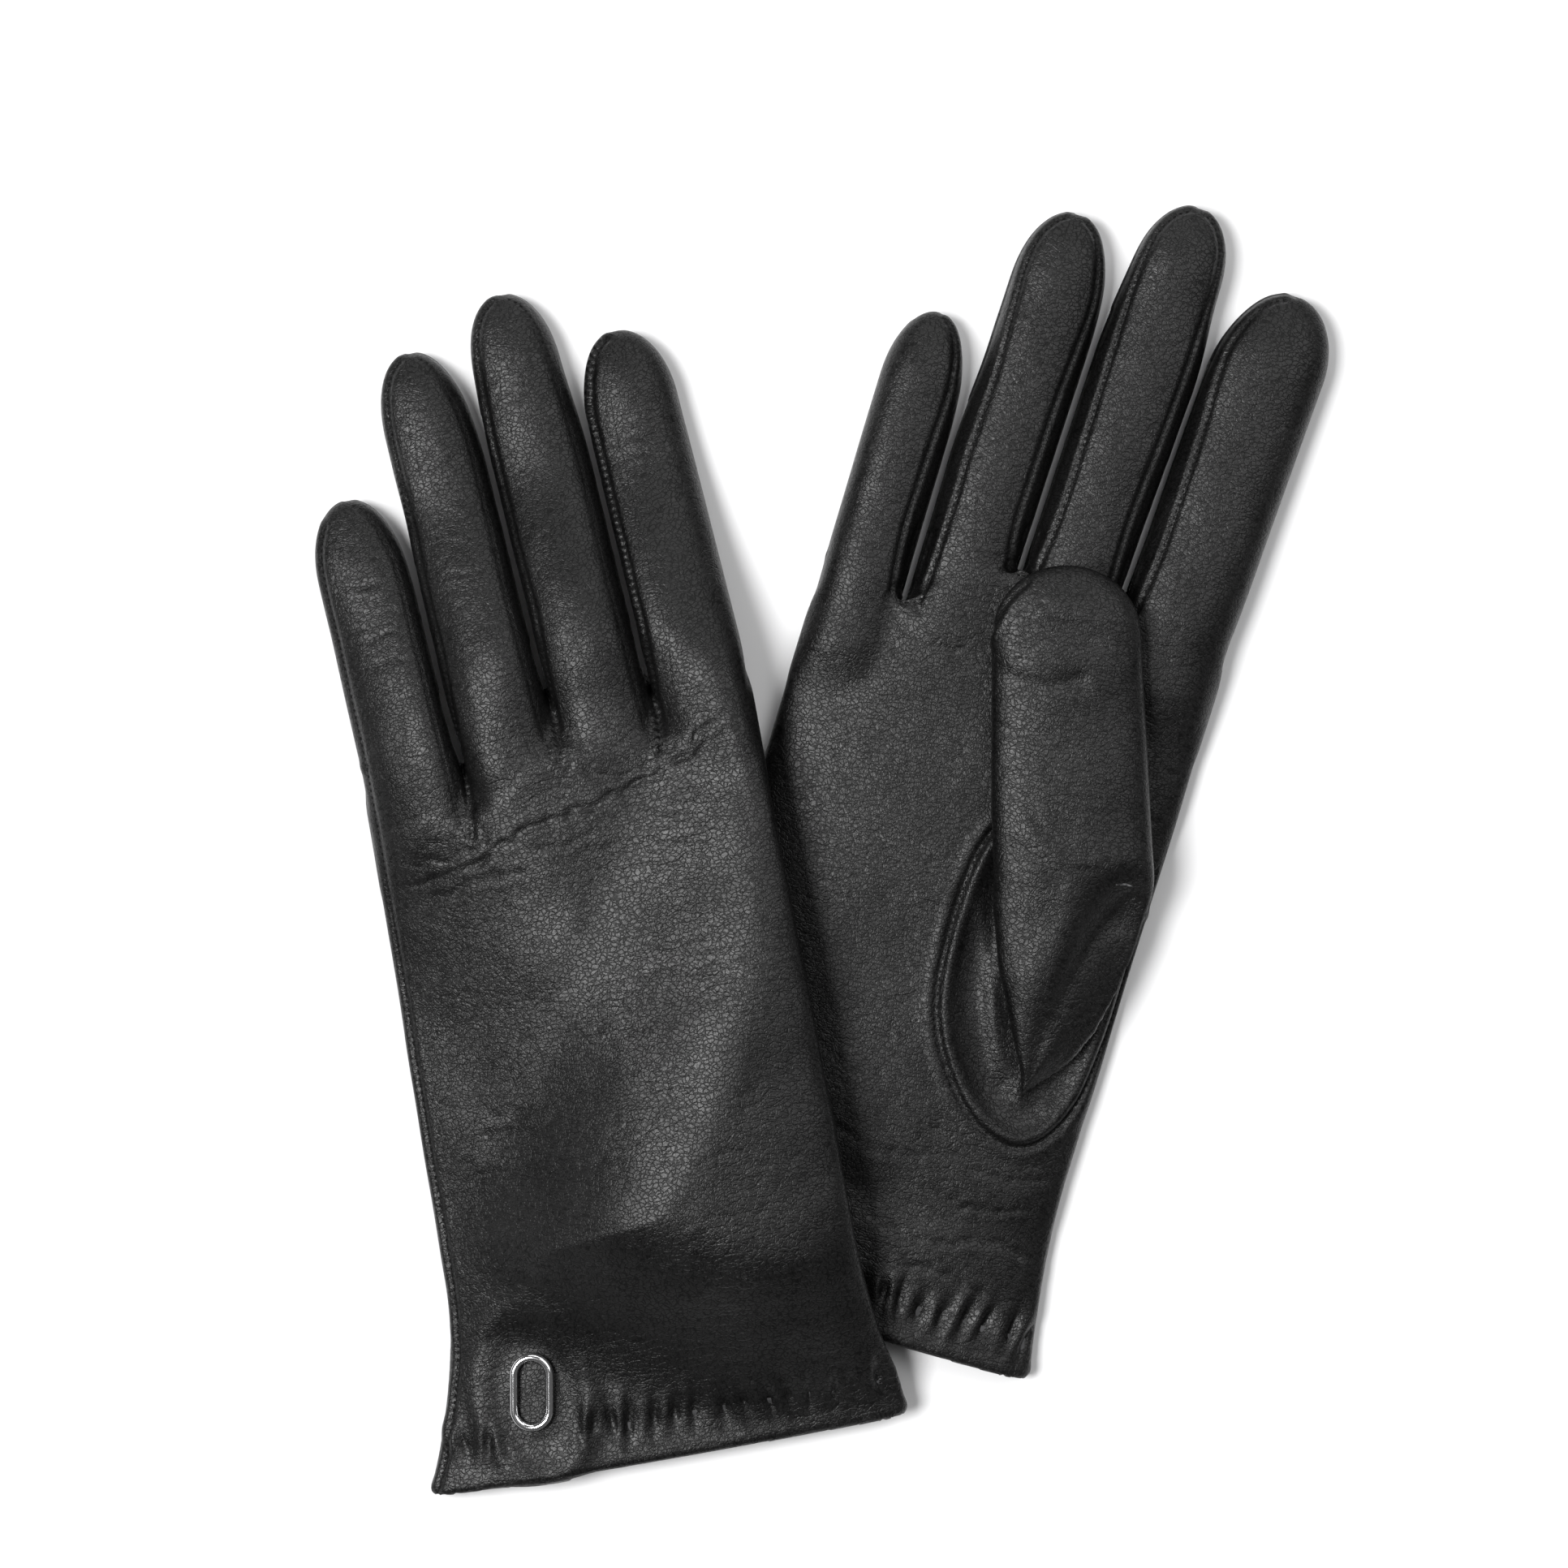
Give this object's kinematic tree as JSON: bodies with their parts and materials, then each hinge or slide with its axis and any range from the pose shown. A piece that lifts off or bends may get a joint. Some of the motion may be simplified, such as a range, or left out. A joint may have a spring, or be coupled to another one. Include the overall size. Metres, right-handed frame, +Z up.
{
  "type": "pair of leather gloves",
  "caption": "Pair of black leather dress gloves with knitted lining, elasticated cuff and oval metal ring, laid flat with thumbs folded in.",
  "frame": {"origin": "on the table, under the middle of the pair's box as it lies", "axes": "+Z up off the table; +Y along the length of the pair, from the hems towards the fingertips; +X from the left glove to the right glove"},
  "size_m": [0.2078, 0.2645, 0.0309],
  "materials": {
    "leather": "smooth lambskin, soft sheen",
    "leather_edge": "turned-in leather, soft sheen",
    "lining": "fine black knit, matte",
    "elastic": "woven elastic, matte",
    "thread": "polyester thread, low sheen",
    "ornament_metal": "polished silver tone",
    "backing_metal": "plain stamped plate"
  },
  "bodies": {
    "right_hand": {"right_hand_shell": "leather", "right_cuff_facing": "leather_edge", "right_wrist_elastic": "elastic", "right_hand_lining": "lining", "right_thumb_base": "leather"},
    "right_thumb": {"right_thumb_sleeve": "leather", "right_thumb_lining": "lining"},
    "right_pinky": {"right_pinky_sleeve": "leather", "right_pinky_fourchettes": "leather", "right_pinky_lining": "lining"},
    "right_ring": {"right_ring_sleeve": "leather", "right_ring_fourchettes": "leather", "right_ring_lining": "lining"},
    "right_middle": {"right_middle_sleeve": "leather", "right_middle_fourchettes": "leather", "right_middle_lining": "lining"},
    "right_index": {"right_index_sleeve": "leather", "right_index_fourchettes": "leather", "right_index_lining": "lining"},
    "left_hand": {"left_hand_shell": "leather", "left_cuff_facing": "leather_edge", "left_wrist_elastic": "elastic", "left_hand_lining": "lining", "left_thumb_base": "leather", "ornament_ring": "ornament_metal", "ornament_washers": "backing_metal"},
    "left_thumb": {"left_thumb_sleeve": "leather", "left_thumb_lining": "lining"},
    "left_pinky": {"left_pinky_sleeve": "leather", "left_pinky_fourchettes": "leather", "left_pinky_lining": "lining"},
    "left_ring": {"left_ring_sleeve": "leather", "left_ring_fourchettes": "leather", "left_ring_lining": "lining"},
    "left_middle": {"left_middle_sleeve": "leather", "left_middle_fourchettes": "leather", "left_middle_lining": "lining"},
    "left_index": {"left_index_sleeve": "leather", "left_index_fourchettes": "leather", "left_index_lining": "lining"}
  },
  "joints": [
    {"name": "left_glove_lift", "type": "slide", "parent": "right_hand", "child": "left_hand", "axis": [0, 0, 1], "range_m": [0, 0.12]},
    {"name": "left_pinky_curl", "type": "hinge", "parent": "left_hand", "child": "left_pinky", "pos_m": [-0.0846, 0.01978, 0.0023], "axis": [-0.9703, -0.2419, 0], "range_deg": [0, 75]},
    {"name": "left_ring_curl", "type": "hinge", "parent": "left_hand", "child": "left_ring", "pos_m": [-0.06622, 0.03216, 0.00826], "axis": [-0.9668, -0.2555, 0], "range_deg": [0, 75]},
    {"name": "left_middle_curl", "type": "hinge", "parent": "left_hand", "child": "left_middle", "pos_m": [-0.04697, 0.03961, 0.0096], "axis": [-0.9686, -0.2487, 0], "range_deg": [0, 75]},
    {"name": "left_index_curl", "type": "hinge", "parent": "left_hand", "child": "left_index", "pos_m": [-0.02584, 0.03927, 0.0096], "axis": [-0.9711, -0.2385, 0], "range_deg": [0, 75]},
    {"name": "left_thumb_unfold", "type": "hinge", "parent": "left_hand", "child": "left_thumb", "pos_m": [-0.02245, -0.0174, 0.00334], "axis": [-0.8788, -0.4772, 0], "range_deg": [0, 75]},
    {"name": "right_pinky_curl", "type": "hinge", "parent": "right_hand", "child": "right_pinky", "pos_m": [0.00914, 0.05862, 0.01223], "axis": [0.9613, -0.2756, 0], "range_deg": [0, 75]},
    {"name": "right_ring_curl", "type": "hinge", "parent": "right_hand", "child": "right_ring", "pos_m": [0.03065, 0.06146, 0.01223], "axis": [0.9542, -0.299, 0], "range_deg": [0, 75]},
    {"name": "right_middle_curl", "type": "hinge", "parent": "right_hand", "child": "right_middle", "pos_m": [0.05215, 0.05907, 0.01223], "axis": [0.9455, -0.3256, 0], "range_deg": [0, 75]},
    {"name": "right_index_curl", "type": "hinge", "parent": "right_hand", "child": "right_index", "pos_m": [0.07297, 0.04852, 0.01223], "axis": [0.9373, -0.3486, 0], "range_deg": [0, 75]},
    {"name": "right_thumb_unfold", "type": "hinge", "parent": "right_hand", "child": "right_thumb", "pos_m": [0.05027, -0.00352, 0.0204], "axis": [0.9997, 0.0262, 0], "range_deg": [0, 90]}
  ],
  "couplings": [
    {"joint": "left_thumb_unfold", "follows": "left_glove_lift", "rad_per_m": 10.9}
  ]
}
